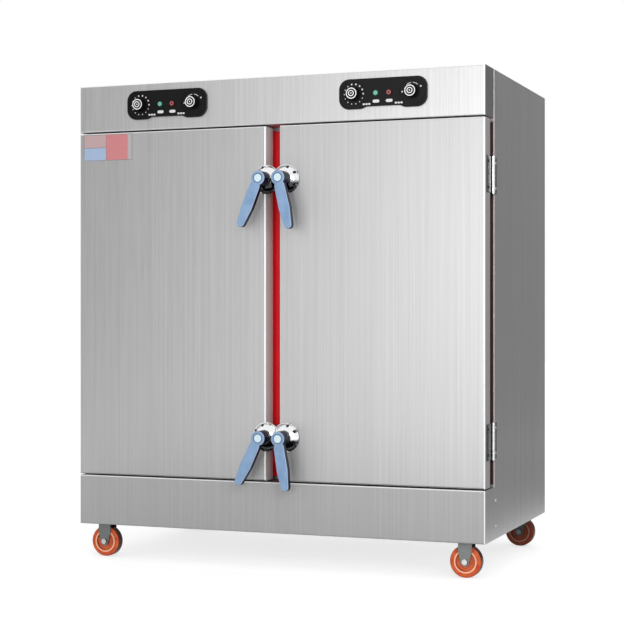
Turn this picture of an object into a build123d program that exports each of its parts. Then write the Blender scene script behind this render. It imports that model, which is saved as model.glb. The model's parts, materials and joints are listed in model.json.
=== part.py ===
from build123d import *

import os

# Overall sizes of the cabinet, in millimetres. X is left to right, the front faces -Y, Z is up.
body_width = 1390
body_depth = 800
body_height = 1450
base_height = 162
header_height = 154
floor_clearance = 111

# Sheet metal
skin = 1.2
bend_radius = 5
fold_width = 18
corner_return = 6
overrun = 5

# Doors
door_gap = 48
door_reveal = 4
door_thickness = 58
front_setback = 100
plug_clearance = 6
plug_depth = 28

# Red silicone seal on the front frame
seal_inset = 6
seal_width = 20
seal_web = 3
seal_clearance = 0.3
seal_rounding = 3
mouth_margin = 5

# Front frame and the two steaming chambers
frame_sheet = 1.5
frame_overlap = 12
service_depth = 150
liner_sheet = 1.2
back_insulation = 50
roof_insulation = 50

# Water tanks under the chambers, with their heating elements and steam grates
tank_sheet = 1.5
tank_end_margin = 44.5
tank_side_margin = 50
tank_depth = 110
grate_sheet = 1.5
grate_lap = 18
grate_bar_width = 16
slat_width = 24
slat_count = 9
element_radius = 6
element_span = 80
element_end_margin = 61.5
element_height = 36
element_flange_length = 120
element_flange_height = 40
element_flange_sheet = 6
element_terminal_radius = 4
element_terminal_length = 18

# Tray racks
tray_tiers = 12
rail_width = 18
rail_sheet = 2
rail_end_margin = 30
upright_sheet = 2
upright_width = 30
upright_setback = 60
first_rail_height = 45
last_rail_drop = 70

# Base frame
deck_sheet = 3
deck_play = 4
deck_flange = 22
post_leg = 30

# Casters
caster_height = 141
wheel_radius = 50
wheel_width = 32
tyre_bore_radius = 30
tyre_rounding = 5
ridge_radius = 34
ridge_width = 5
ridge_height = 1
core_width = 24
hub_radius = 13
hub_width = 34
axle_radius = 6
running_clearance = 0.05
fork_sheet = 3
fork_play = 1
fork_top_width = 44
fork_eye_radius = 14
fork_straight = 56
caster_plate_length = 90
caster_plate_breadth = 84
axle_nut_radius = 9.5
axle_nut_height = 6
caster_side_inset = 73
caster_front_inset = 56
caster_back_inset = 58

# Corner hinges
hinge_height = 110
hinge_lower_height = 306
hinge_upper_drop = 329
hinge_setback = 70
hinge_offset = 7
knuckle_radius = 6
knuckle_end = 27
knuckle_gap = 0.3
leaf_sheet = 3
door_leaf_reach = 54
frame_leaf_reach = 60
pin_radius = 3
pin_head_radius = 5
pin_head_height = 3

# Latches: a domed chrome rosette on each door, and a keeper between the doors
latch_upper_drop = 328
latch_lower_height = 306
latch_shift = 13
latch_half_spacing = 33.5
rosette_radius = 46
rosette_rim = 2
dome_height = 27
dome_wall = 2.5
dome_gap = 1.5
boss_radius = 24
boss_lift = 4
boss_core_radius = 14
boss_core_depth = 17
spindle_radius = 8
spindle_square = 11
tongue_radius = 28.5
tongue_width = 12
tongue_sheet = 4
tongue_lift = 2.3
tongue_hub_radius = 12
keeper_clearance = 0.5
keeper_head_width = 16
keeper_head_height = 22
keeper_head_sheet = 2.5
keeper_post_width = 8
keeper_post_height = 20
keeper_foot_width = 30
keeper_foot_height = 60
keeper_window_margin = 2
rosette_screw_radius = 39
rosette_post_radius = 6
rosette_pocket_radius = 5.2
rosette_seat = 8
rosette_screw_length = 18
rosette_screw_angles = (76, 31, -31, -76)

# Latch handles
handle_stand_off = 72
handle_thickness = 20
handle_head_radius = 23
handle_neck_radius = 17.5
handle_neck_reach = 28
handle_belly_radius = 19
handle_belly_reach = 98
handle_tip_radius = 13
handle_length = 165
handle_rounding = 4
handle_gap = 1
handle_cap_radius = 17
handle_cap_sunk = 1
handle_cap_depth = 3
handle_cap_rounding = 1
handle_socket_wall = 8
left_handle_angles = {"upper": 23, "lower": 26}
right_handle_angles = {"upper": 13, "lower": 9}

# Control bezels on the header, with two knobs and two lamps each
bezel_length = 288
bezel_height = 94
bezel_thickness = 7
bezel_corner_radius = 33
bezel_end_length = 100
bezel_waist = 7
bezel_waist_radius = 24
bezel_rounding = 2.5
bezel_offset = 371
bezel_drop = 72
window_margin = 14
dial_offset = 95
dial_radius = 41
dial_recess = 1.5
lamp_offset = 21.5
lamp_radius = 8.5
lamp_collar_radius = 10.5
lamp_collar_height = 2
lamp_dome_height = 4
lamp_body_length = 30
knob_skirt_radius = 22
knob_skirt_height = 5
knob_radius = 19
knob_top_radius = 17.5
knob_height = 23
knob_boss_radius = 10
knob_boss_height = 2
knob_gap = 1
knob_shaft_radius = 3
knob_shaft_length = 22
shaft_hole_clearance = 1
timer_width = 44
timer_depth = 52
thermostat_radius = 22
thermostat_depth = 40

# Fittings at the back
rear_reach = 60
tail_collar_radius = 18
tail_collar_sheet = 3
vent_radius = 13
vent_bore_radius = 11
vent_tail = 28
vent_drop = 30
vent_offset = 150
gland_bore_radius = 7.5
gland_radius = 12
gland_nut_radius = 16
gland_nut_height = 7
gland_dome_length = 16
gland_side_inset = 190
gland_drop = 85
pipe_radius = 11
pipe_bore_radius = 9
manifold_radius = 13
manifold_end = 18
manifold_inset = 88
manifold_height = 18
manifold_stub_offset = 150
valve_offset = 120
valve_radius = 17
valve_length = 30
ball_radius = 12
ball_hole_radius = 8
ball_clearance = 0.1
stem_radius = 4
stem_height = 9
lever_length = 72
lever_width = 14
lever_sheet = 4
float_box_length = 160
float_box_breadth = 110
float_box_height = 120
float_box_sheet = 1.5
float_box_offset = -140
float_box_lift = 12
float_radius = 24
float_arm_length = 62
float_arm_radius = 2
float_droop = 12
float_eye_radius = 6
float_eye_width = 6
float_pin_radius = 2.5
float_lug_sheet = 3
float_pivot_height = 78
float_pivot_inset = 11
inlet_radius = 10
inlet_bore_radius = 7.5
inlet_tail = 40
inlet_drop = 18

# Electrical box in the space above the chambers
box_length = 300
box_breadth = 220
box_height = 90
box_sheet = 1.5
contactor_length = 75
contactor_breadth = 80
contactor_height = 60

# Vent slots in the back panel
slot_length = 90
slot_height = 6
slot_pitch = 16
slot_count = 5
slot_offset = 330

# Screws
screw_head_radius = 4.5
screw_head_height = 2.4
screw_head_rounding = 1.4
screw_shank_radius = 2
screw_shank_length = 9
side_screw_setback = 127
side_screw_heights = (40, 119)
back_screw_inset = 9
back_screw_rows = 4
leaf_screw_inset = 16

# Places worked out from the sizes above
front_reach = handle_stand_off
front = -body_depth / 2 + (front_reach - rear_reach) / 2
back = front + body_depth
half_width = body_width / 2
inner_half = half_width - skin
skirt_z = floor_clearance
top_z = skirt_z + body_height
base_top = skirt_z + base_height
header_bottom = top_z - header_height
frame_y = front + front_setback
door_inner_x = door_gap / 2
door_outer_x = half_width
door_bottom = base_top + door_reveal
door_top = header_bottom - door_reveal
door_back = front + door_thickness
seal_front = door_back + seal_clearance
ring_inner_x = door_inner_x + seal_inset
ring_outer_x = door_outer_x - seal_inset
ring_bottom = door_bottom + seal_inset
ring_top = door_top - seal_inset
mouth_edge = seal_width + mouth_margin
mouth_inner_x = ring_inner_x + mouth_edge
mouth_outer_x = ring_outer_x - mouth_edge
mouth_bottom = ring_bottom + mouth_edge
mouth_top = ring_top - mouth_edge
chamber_x = (mouth_inner_x + mouth_outer_x) / 2
insulation_back = back - service_depth
chamber_back = insulation_back - back_insulation
chamber_depth = chamber_back - frame_y
chamber_floor = mouth_bottom + liner_sheet
roof_floor = mouth_top + roof_insulation
tank_length = mouth_outer_x - mouth_inner_x - 2 * tank_end_margin
tank_breadth = chamber_depth - 2 * tank_side_margin
tank_y = frame_y + chamber_depth / 2
tank_bottom = mouth_bottom - tank_depth
tank_back = tank_y + tank_breadth / 2 + tank_sheet
deck_bottom = caster_height
deck_top = deck_bottom + deck_sheet
hinge_x = half_width + hinge_offset
hinge_y = front + hinge_setback
bezel_z = top_z - bezel_drop
bezel_front = front - bezel_thickness
side_signs = (-1, 1)
latch_heights = {"upper": top_z - latch_upper_drop, "lower": skirt_z + latch_lower_height}
dome_sphere = (rosette_radius**2 + dome_height**2) / (2 * dome_height)
dome_centre_y = front + dome_sphere - dome_height
boss_face = front - dome_height - boss_lift
boss_end = boss_face + boss_core_depth
tongue_back = front - tongue_lift
tongue_front = tongue_back - tongue_sheet
keeper_back = tongue_front - keeper_clearance
handle_face = front - handle_stand_off
hinge_heights = (skirt_z + hinge_lower_height, top_z - hinge_upper_drop)
wheel_x = half_width - caster_side_inset
wheel_places = {
    "front_left": (-wheel_x, front + caster_front_inset),
    "front_right": (wheel_x, front + caster_front_inset),
    "rear_left": (-wheel_x, back - caster_back_inset),
    "rear_right": (wheel_x, back - caster_back_inset),
}


def block(x0, x1, y0, y1, z0, z1):
    """A box between two corners."""
    return Pos(x0, y0, z0) * Box(x1 - x0, y1 - y0, z1 - z0, align=Align.MIN)


def bar(radius, length):
    """A round bar that stands on the drawing plane."""
    return Cylinder(radius, length, align=(Align.CENTER, Align.CENTER, Align.MIN))


def rod_x(radius, x0, x1, y, z):
    """A round bar along X."""
    return Pos(x0, y, z) * Rot(0, 90, 0) * bar(radius, x1 - x0)


def rod_y(radius, y0, y1, x, z):
    """A round bar along Y."""
    return Pos(x, y0, z) * Rot(-90, 0, 0) * bar(radius, y1 - y0)


def rod_z(radius, z0, z1, x, y):
    """A round bar along Z."""
    return Pos(x, y, z0) * bar(radius, z1 - z0)


def facing_front(x, y, z):
    """A drawing plane that faces the front: its drawings extrude towards -Y."""
    return Plane(origin=(x, y, z), x_dir=(1, 0, 0), z_dir=(0, -1, 0))


def spun_y(points):
    """A turned piece about the Y axis, from an outline of (radius, y) points."""
    return revolve(make_face(Polyline(*points, close=True)), Axis.Y)


def mirrored(shapes):
    """The same pieces on the other side of the cabinet."""
    return [mirror(shape, about=Plane.YZ) for shape in shapes]


def on_side(shapes, sign):
    """Right-hand pieces as they are, or mirrored for the left."""
    return shapes if sign > 0 else mirrored(shapes)


def rounded_front(x0, x1, y0, y1, z0, z1, radius):
    """A box whose four front edges are bent round."""
    solid = block(x0, x1, y0, y1, z0, z1)
    return fillet(solid.edges().group_by(Axis.Y)[0], radius)


def open_pan(x0, x1, y0, y1, z0, z1, sheet):
    """A folded sheet pan with a front, four sides and an open back."""
    inside = (x0 + sheet, x1 - sheet, y0 + sheet, y1 + overrun, z0 + sheet, z1 - sheet)
    return rounded_front(x0, x1, y0, y1, z0, z1, bend_radius) - rounded_front(*inside, bend_radius - sheet)


def screw(place, outward, length=screw_shank_length):
    """A pan-head screw whose head sits on a face that looks along outward."""
    head = bar(screw_head_radius, screw_head_height)
    head = fillet(head.edges().group_by(Axis.Z)[-1], screw_head_rounding)
    shank = Rot(180, 0, 0) * bar(screw_shank_radius, length)
    return Plane(origin=place, z_dir=outward).location * (head + shank)


def shank_hole(place, outward, length=screw_shank_length):
    """The hole that a screw's shank fills."""
    return Plane(origin=place, z_dir=outward).location * Rot(180, 0, 0) * bar(screw_shank_radius, length)


def cut_across(shape, x, y, z):
    """The two lengths of a pipe run, in front of and behind a depth y."""
    room = 2 * rear_reach
    behind = block(x - room, x + room, y, y + room, z - room, z + room)
    return [shape - behind, shape & behind]


def without(shape, cutters):
    """The shape with every cutter taken out of it."""
    for cutter in cutters:
        shape = shape - cutter
    return shape


# Where the screws sit: (x, y, z) and the direction that each face looks

side_screws = [
    ((sign * half_width, front + side_screw_setback, skirt_z + height), (sign, 0, 0))
    for sign in side_signs
    for height in side_screw_heights
]
back_screw_x = half_width - back_screw_inset
back_screw_step = (body_height - 2 * back_screw_inset) / (back_screw_rows - 1)
back_screws = [
    ((sign * back_screw_x, back, skirt_z + back_screw_inset + row * back_screw_step), (0, 1, 0))
    for sign in side_signs
    for row in range(back_screw_rows)
]


def pivot_x(sign):
    """The sideways place of the left or right latch pivots."""
    return latch_shift + sign * latch_half_spacing


def leaf_screws(sign, y):
    """Two screws through each hinge leaf of one side, on a line at one depth."""
    rise = hinge_height / 2 - leaf_screw_inset
    face = sign * (half_width + leaf_sheet)
    return [((face, y, z + up * rise), (sign, 0, 0)) for z in hinge_heights for up in side_signs]


def frame_leaf_screws(sign):
    return leaf_screws(sign, hinge_y + frame_leaf_reach - leaf_screw_inset)


def door_leaf_screws(sign):
    return leaf_screws(sign, hinge_y - door_leaf_reach + leaf_screw_inset)


def rosette_screws(sign):
    """The screws that hold one door's two rosettes."""
    found = []
    for z in latch_heights.values():
        for angle in rosette_screw_angles:
            arm = Vector(rosette_screw_radius, 0, 0).rotate(Axis.Y, -angle)
            place = (pivot_x(sign) + sign * arm.X, front - rosette_seat, z + arm.Z)
            found.append((place, (0, -1, 0), rosette_screw_length))
    return found


def screw_set(places):
    return [screw(*place) for place in places]


def screw_holes(places):
    return [shank_hole(*place) for place in places]


# Casing


def base_frame():
    """The welded deck that the casters bolt to, with its upturned flanges and four corner posts."""
    x = inner_half
    y0 = front + skin + deck_play
    y1 = back - 2 * skin - deck_play
    deck = block(-x, x, y0, y1, deck_bottom, deck_top + deck_flange)
    inner_x = x - deck_sheet
    deck -= block(-inner_x, inner_x, y0 + deck_sheet, y1 - deck_sheet,
                  deck_top, deck_top + deck_flange + overrun)
    for sign in side_signs:
        for post_y in (frame_y + frame_sheet, y1 - post_leg):
            outer = block(x - post_leg, x, post_y, post_y + post_leg, deck_bottom, mouth_bottom)
            outer -= block(x - post_leg - overrun, inner_x, post_y + deck_sheet, post_y + post_leg + overrun,
                           deck_top, mouth_bottom + overrun)
            deck += outer if sign > 0 else mirror(outer, about=Plane.YZ)
    return [without(deck, screw_holes(side_screws))]


def base_front_panel():
    """The skirt below the doors: bent corners, a ledge under the doors and a fold at the bottom."""
    panel = open_pan(-half_width, half_width, front, frame_y, skirt_z, base_top, skin)
    for sign in side_signs:
        side = block(inner_half, half_width + overrun, front + corner_return, frame_y + overrun,
                     skirt_z - overrun, base_top + overrun)
        panel -= side if sign > 0 else mirror(side, about=Plane.YZ)
    under = block(-half_width, half_width, front + fold_width, frame_y + overrun,
                  skirt_z - overrun, skirt_z + skin + overrun)
    return [panel - under]


def side_panel(sign):
    """A full-height sheet that also runs forward under the door, with folds at top, back and bottom."""
    rear = back - skin
    roof = top_z - skin
    fold_x = inner_half - fold_width
    panel = block(inner_half, half_width, frame_y, rear, skirt_z, roof)
    panel += block(inner_half, half_width, front + corner_return, frame_y, skirt_z, base_top)
    panel += block(fold_x, half_width, rear - skin, rear, skirt_z, roof)
    panel += block(fold_x, half_width, frame_y, rear, roof - skin, roof)
    panel += block(fold_x, half_width, front + fold_width, rear, skirt_z, skirt_z + skin)
    holes = screw_holes(side_screws + back_screws + frame_leaf_screws(sign))
    return [without(panel, holes) for panel in on_side([panel], sign)]


def top_panel():
    """The flat roof sheet behind the header."""
    return [block(-half_width, half_width, frame_y, back - skin, top_z - skin, top_z)]


def back_panel():
    """The removable back sheet, with holes for the fittings and slots that air the service space."""
    panel = block(-half_width, half_width, back - skin, back, skirt_z, top_z)
    far = back + overrun
    near = back - skin - overrun
    for sign in side_signs:
        panel -= rod_y(vent_radius, near, far, sign * (chamber_x + vent_offset), mouth_top - vent_drop)
        for row in range(slot_count):
            z = bezel_z + (row - (slot_count - 1) / 2) * slot_pitch
            x = sign * slot_offset
            panel -= block(x - slot_length / 2, x + slot_length / 2, near, far, z, z + slot_height)
    panel -= rod_y(pipe_radius, near, far, valve_offset, manifold_z)
    panel -= rod_y(inlet_radius, near, far, float_box_offset, inlet_z)
    panel -= rod_y(gland_radius, near, far, gland_x, gland_z)
    return [without(panel, screw_holes(back_screws))]


def header_casing():
    """The folded header above the doors, with a window behind each control bezel."""
    casing = open_pan(-half_width, half_width, front, frame_y, header_bottom, top_z, skin)
    reach_x = bezel_length / 2 - window_margin
    reach_z = bezel_height / 2 - window_margin
    for sign in side_signs:
        x = sign * bezel_offset
        casing -= block(x - reach_x, x + reach_x, front - overrun, front + skin + overrun,
                        bezel_z - reach_z, bezel_z + reach_z)
    return [casing]


# Front frame and seal


def front_frame():
    """The welded strips that the seal lies on: two stiles, a centre post, a sill and a head."""
    y0 = frame_y
    y1 = frame_y + frame_sheet
    low = base_top - frame_overlap
    high = header_bottom + frame_overlap
    strips = [
        block(-mouth_inner_x, mouth_inner_x, y0, y1, mouth_bottom, mouth_top),
        block(-inner_half, inner_half, y0, y1, low, mouth_bottom),
        block(-inner_half, inner_half, y0, y1, mouth_top, high),
    ]
    stile = block(mouth_outer_x, inner_half, y0, y1, mouth_bottom, mouth_top)
    return strips + [stile] + mirrored([stile])


def seal_strip(x0, x1, z0, z1):
    """One length of the seal, with a rounded front."""
    return rounded_front(x0, x1, seal_front, frame_y, z0, z1, seal_rounding)


def front_seal():
    """A red silicone ring round each chamber mouth, and a thin web between the rings on the centre post."""
    near_x, far_x = ring_inner_x + seal_width, ring_outer_x - seal_width
    ribs = [
        seal_strip(ring_inner_x, near_x, ring_bottom, ring_top),
        seal_strip(far_x, ring_outer_x, ring_bottom, ring_top),
        seal_strip(near_x, far_x, ring_bottom, ring_bottom + seal_width),
        seal_strip(near_x, far_x, ring_top - seal_width, ring_top),
    ]
    window = keeper_foot_height / 2 + keeper_window_margin
    lower, upper = latch_heights["lower"], latch_heights["upper"]
    spans = ((ring_bottom, lower - window), (lower + window, upper - window), (upper + window, ring_top))
    webs = [block(-ring_inner_x, ring_inner_x, frame_y - seal_web, frame_y, z0, z1) for z0, z1 in spans]
    return ribs + mirrored(ribs) + webs


# Chambers


def chamber_liner(sign):
    """Five welded sheets: floor with the tank opening, roof, two walls and a back with the steam outlet."""
    x0, x1 = mouth_inner_x, mouth_outer_x
    y0, y1 = frame_y, chamber_back
    z0, z1 = mouth_bottom, mouth_top
    sheet = liner_sheet
    floor = block(x0, x1, y0, y1, z0, z0 + sheet)
    floor -= block(chamber_x - tank_length / 2, chamber_x + tank_length / 2,
                   tank_y - tank_breadth / 2, tank_y + tank_breadth / 2, z0 - overrun, z0 + overrun)
    rear = block(x0 + sheet, x1 - sheet, y1 - sheet, y1, z0 + sheet, z1 - sheet)
    rear -= rod_y(vent_radius, y1 - sheet - overrun, y1 + overrun, chamber_x + vent_offset, z1 - vent_drop)
    roof = block(x0, x1, y0, y1, z1 - sheet, z1)
    inner_wall = block(x0, x0 + sheet, y0, y1, z0 + sheet, z1 - sheet)
    outer_wall = block(x1 - sheet, x1, y0, y1, z0 + sheet, z1 - sheet)
    return on_side([floor, roof, inner_wall, outer_wall, rear], sign)


def steam_grates():
    """A slatted grate over each tank: slats along the cabinet, laid on a bar at either end."""
    half_x = tank_length / 2 + grate_lap
    half_y = tank_breadth / 2 + grate_lap
    bar_top = chamber_floor + grate_sheet
    x0, x1 = chamber_x - half_x, chamber_x + half_x
    pieces = [block(x, x + grate_bar_width, tank_y - half_y, tank_y + half_y, chamber_floor, bar_top)
              for x in (x0, x1 - grate_bar_width)]
    pitch = (2 * half_y - slat_width) / (slat_count - 1)
    for slat in range(slat_count):
        y = tank_y - half_y + slat * pitch
        pieces.append(block(x0, x1, y, y + slat_width, bar_top, bar_top + grate_sheet))
    return pieces + mirrored(pieces)


def tray_racks():
    """Two uprights and a rail for each tier on both walls of each chamber."""
    low = chamber_floor
    high = mouth_top - liner_sheet
    first = low + first_rail_height
    pitch = (high - last_rail_drop - first) / (tray_tiers - 1)
    middle = (frame_y + chamber_back) / 2
    half_rail = chamber_depth / 2 - rail_end_margin
    half_upright = upright_width / 2
    inner, outer = mouth_inner_x + liner_sheet, mouth_outer_x - liner_sheet
    pieces = []
    for wall, way in ((inner, 1), (outer, -1)):
        face = wall + way * upright_sheet
        edge = face + way * rail_width
        for y in (middle - half_rail + upright_setback, middle + half_rail - upright_setback):
            pieces.append(block(min(wall, face), max(wall, face), y - half_upright, y + half_upright,
                                low, high))
        for tier in range(tray_tiers):
            z = first + tier * pitch
            pieces.append(block(min(face, edge), max(face, edge), middle - half_rail, middle + half_rail,
                                z, z + rail_sheet))
    return pieces + mirrored(pieces)


def body_insulation():
    """Foam slabs beside, between, behind, above and below the chambers."""
    y0 = frame_y + frame_sheet
    side = block(mouth_outer_x, inner_half, y0, chamber_back, mouth_bottom, roof_floor)
    side = without(side, screw_holes(frame_leaf_screws(1)))
    centre = block(-mouth_inner_x, mouth_inner_x, y0, chamber_back, mouth_bottom, mouth_top)
    rear = block(-inner_half, inner_half, chamber_back, insulation_back, mouth_bottom, roof_floor)
    for sign in side_signs:
        rear -= rod_y(vent_radius, chamber_back - overrun, insulation_back + overrun,
                      sign * (chamber_x + vent_offset), mouth_top - vent_drop)
    roof = block(-mouth_outer_x, mouth_outer_x, y0, chamber_back, mouth_top, roof_floor)
    post_edge = inner_half - post_leg
    below = block(-post_edge, post_edge, y0, insulation_back, deck_top, tank_bottom)
    return [side, *mirrored([side]), centre, rear, roof, below]


# Water system

manifold_z = tank_bottom + manifold_height
manifold_y = back - manifold_inset
float_box_bottom = manifold_z + float_box_lift + pipe_radius / 2
float_box_front = manifold_y - float_box_breadth / 2
float_box_back = manifold_y + float_box_breadth / 2
float_pivot_y = float_box_back - float_box_sheet - float_pivot_inset
float_pivot_z = float_box_bottom + float_pivot_height
inlet_z = float_box_bottom + float_box_height - inlet_drop
gland_x = -half_width + gland_side_inset
gland_z = top_z - gland_drop
element_z = tank_bottom + element_height
valve_y = back + tail_collar_sheet + valve_length / 2


def water_tanks():
    """An open tank welded under each chamber floor, with holes for its element and its drain."""
    half_x = tank_length / 2
    half_y = tank_breadth / 2
    sheet = tank_sheet
    tank = block(chamber_x - half_x - sheet, chamber_x + half_x + sheet, tank_y - half_y - sheet, tank_back,
                 tank_bottom, mouth_bottom)
    tank -= block(chamber_x - half_x, chamber_x + half_x, tank_y - half_y, tank_y + half_y,
                  tank_bottom + sheet, mouth_bottom + overrun)
    near, far = tank_back - sheet - overrun, tank_back + overrun
    for side in side_signs:
        tank -= rod_y(element_radius, near, far, chamber_x + side * element_span / 2, element_z)
    tank -= rod_y(pipe_radius, near, far, chamber_x - manifold_stub_offset, manifold_z)
    return [tank] + mirrored([tank])


def heating_elements():
    """A U-shaped tube in each tank, on a flange behind the tank wall with two terminals."""
    half_span = element_span / 2
    bend_y = tank_y - tank_breadth / 2 + element_end_margin
    flange_back = tank_back + element_flange_sheet
    arms = [rod_y(element_radius, bend_y, flange_back, chamber_x + side * half_span, element_z)
            for side in side_signs]
    bend = Pos(chamber_x, bend_y, element_z) * Torus(half_span, element_radius)
    bend -= block(chamber_x - element_span, chamber_x + element_span, bend_y, bend_y + element_span,
                  element_z - element_span, element_z + element_span)
    flange = block(chamber_x - element_flange_length / 2, chamber_x + element_flange_length / 2,
                   tank_back, flange_back,
                   element_z - element_flange_height / 2, element_z + element_flange_height / 2)
    element = arms[0] + arms[1] + bend + flange
    end = flange_back + element_terminal_length
    for side in side_signs:
        element += rod_y(element_terminal_radius, tank_back, end, chamber_x + side * half_span, element_z)
    return [element] + mirrored([element])


def water_pipes(run_radius, radius, wall):
    """The manifold's run with its branches, outside or inside: wall is what the run's ends leave."""
    stub_x = chamber_x - manifold_stub_offset
    end = stub_x + manifold_end - wall
    pipes = rod_x(run_radius, -end, end, manifold_y, manifold_z)
    for sign in side_signs:
        pipes += rod_y(radius, tank_back - tank_sheet, manifold_y, sign * stub_x, manifold_z)
    pipes += rod_y(radius, manifold_y, back + rear_reach, valve_offset, manifold_z)
    pipes += rod_z(radius, manifold_z, float_box_bottom + float_box_sheet, float_box_offset, manifold_y)
    return pipes


def drain_manifold():
    """The pipe that joins both tanks and the float box, and the drain valve's body with its hose tail."""
    wall = pipe_radius - pipe_bore_radius
    solid = water_pipes(manifold_radius, pipe_radius, 0)
    solid += rod_y(tail_collar_radius, back, back + tail_collar_sheet, valve_offset, manifold_z)
    solid += rod_y(valve_radius, back, back + tail_collar_sheet + valve_length, valve_offset, manifold_z)
    solid += rod_z(stem_radius + tail_collar_sheet, manifold_z, manifold_z + valve_radius + tail_collar_sheet,
                   valve_offset, valve_y)
    solid -= water_pipes(manifold_radius - wall, pipe_bore_radius, wall)
    solid -= Pos(valve_offset, valve_y, manifold_z) * Sphere(ball_radius + ball_clearance)
    solid -= rod_z(stem_radius + running_clearance, manifold_z, manifold_z + valve_radius + stem_height,
                   valve_offset, valve_y)
    return cut_across(solid, valve_offset, back, manifold_z)


def drain_lever():
    """The ball, stem and lever of the drain valve, closed, with the ball's hole across the pipe."""
    ball = Pos(valve_offset, valve_y, manifold_z) * Sphere(ball_radius)
    ball -= rod_x(ball_hole_radius, valve_offset - ball_radius, valve_offset + ball_radius,
                  valve_y, manifold_z)
    half = lever_width / 2
    top = manifold_z + valve_radius + stem_height
    ball += rod_z(stem_radius, manifold_z + ball_hole_radius + ball_clearance, top, valve_offset, valve_y)
    lever = block(valve_offset, valve_offset + lever_length, valve_y - half, valve_y + half,
                  top, top + lever_sheet)
    lever = fillet(lever.edges().filter_by(Axis.Z).group_by(Axis.X)[-1], half - lever_sheet)
    return [ball + lever + rod_z(half, top, top + lever_sheet, valve_offset, valve_y)]


def float_box():
    """The closed level box, with two lugs and a pin for the float arm."""
    half_x = float_box_length / 2
    x, sheet = float_box_offset, float_box_sheet
    z0, z1 = float_box_bottom, float_box_bottom + float_box_height
    box = block(x - half_x, x + half_x, float_box_front, float_box_back, z0, z1)
    box -= block(x - half_x + sheet, x + half_x - sheet, float_box_front + sheet, float_box_back - sheet,
                 z0 + sheet, z1 - sheet)
    box -= rod_z(pipe_radius, z0 - overrun, z0 + sheet + overrun, x, manifold_y)
    box -= rod_y(inlet_radius, float_box_back - sheet - overrun, float_box_back + overrun, x, inlet_z)
    gap = float_eye_width / 2 + knuckle_gap
    for side in side_signs:
        near, far = sorted((x + side * gap, x + side * (gap + float_lug_sheet)))
        box += block(near, far, float_pivot_y - float_eye_radius, float_box_back - sheet,
                     float_pivot_z - float_eye_radius, float_pivot_z + float_eye_radius)
    reach = gap + float_lug_sheet
    box += rod_x(float_pin_radius, x - reach, x + reach, float_pivot_y, float_pivot_z)
    return [box]


def float_arm():
    """The float ball on its arm, resting low as in an empty tank."""
    eye_start = -float_eye_radius + float_arm_radius / 2
    arm = rod_y(float_arm_radius, -float_arm_length, eye_start, 0, 0)
    arm += rod_x(float_eye_radius, -float_eye_width / 2, float_eye_width / 2, 0, 0)
    arm += Pos(0, -float_arm_length, 0) * Sphere(float_radius)
    arm -= rod_x(float_pin_radius + running_clearance, -float_eye_width, float_eye_width, 0, 0)
    return [Pos(float_box_offset, float_pivot_y, float_pivot_z) * Rot(float_droop, 0, 0) * arm]


def water_inlet():
    """The hose tail that feeds the float box through the back panel."""
    pipe = rod_y(inlet_radius, float_box_back - float_box_sheet, back + inlet_tail, float_box_offset, inlet_z)
    pipe += rod_y(tail_collar_radius, back, back + tail_collar_sheet, float_box_offset, inlet_z)
    bore = rod_y(inlet_bore_radius, float_box_front, back + inlet_tail + overrun, float_box_offset, inlet_z)
    return cut_across(pipe - bore, float_box_offset, back + tail_collar_sheet, inlet_z)


def steam_vents():
    """A steam outlet pipe from each chamber through the back panel."""
    x, z = chamber_x + vent_offset, mouth_top - vent_drop
    pipe = rod_y(vent_radius, chamber_back - liner_sheet, back + vent_tail, x, z)
    pipe += rod_y(tail_collar_radius, back, back + tail_collar_sheet, x, z)
    pipe -= rod_y(vent_bore_radius, chamber_back - liner_sheet - overrun, back + vent_tail + overrun, x, z)
    lengths = cut_across(pipe, x, back + tail_collar_sheet, z)
    return lengths + mirrored(lengths)


def cable_gland():
    """The bare mains cable gland: inner locknut, outer nut and dome, with a clear bore."""
    inside = back - skin - gland_nut_height
    outside = back + gland_nut_height
    nuts = [
        facing_front(gland_x, back - skin, gland_z) * RegularPolygon(gland_nut_radius, 6),
        facing_front(gland_x, outside, gland_z) * RegularPolygon(gland_nut_radius, 6),
    ]
    gland = extrude(nuts[0], amount=gland_nut_height) + extrude(nuts[1], amount=gland_nut_height)
    tip = outside + gland_dome_length
    gland += rod_y(gland_radius, inside, tip, gland_x, gland_z)
    return [gland - rod_y(gland_bore_radius, inside - overrun, tip + overrun, gland_x, gland_z)]


def electrical_box():
    """A sheet box with two contactors on its floor, in the dry space above the chambers."""
    x0 = -box_length / 2
    y0 = front + front_setback + skin + overrun
    box = block(x0, x0 + box_length, y0, y0 + box_breadth, roof_floor, roof_floor + box_height)
    sheet = box_sheet
    box -= block(x0 + sheet, x0 + box_length - sheet, y0 + sheet, y0 + box_breadth - sheet,
                 roof_floor + sheet, roof_floor + box_height - sheet)
    y = y0 + box_breadth / 2 - contactor_breadth / 2
    contactors = []
    for sign in side_signs:
        x = sign * box_length / 4 - contactor_length / 2
        contactors.append(block(x, x + contactor_length, y, y + contactor_breadth, roof_floor + sheet,
                                roof_floor + sheet + contactor_height))
    return [box] + contactors


# Controls


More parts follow.
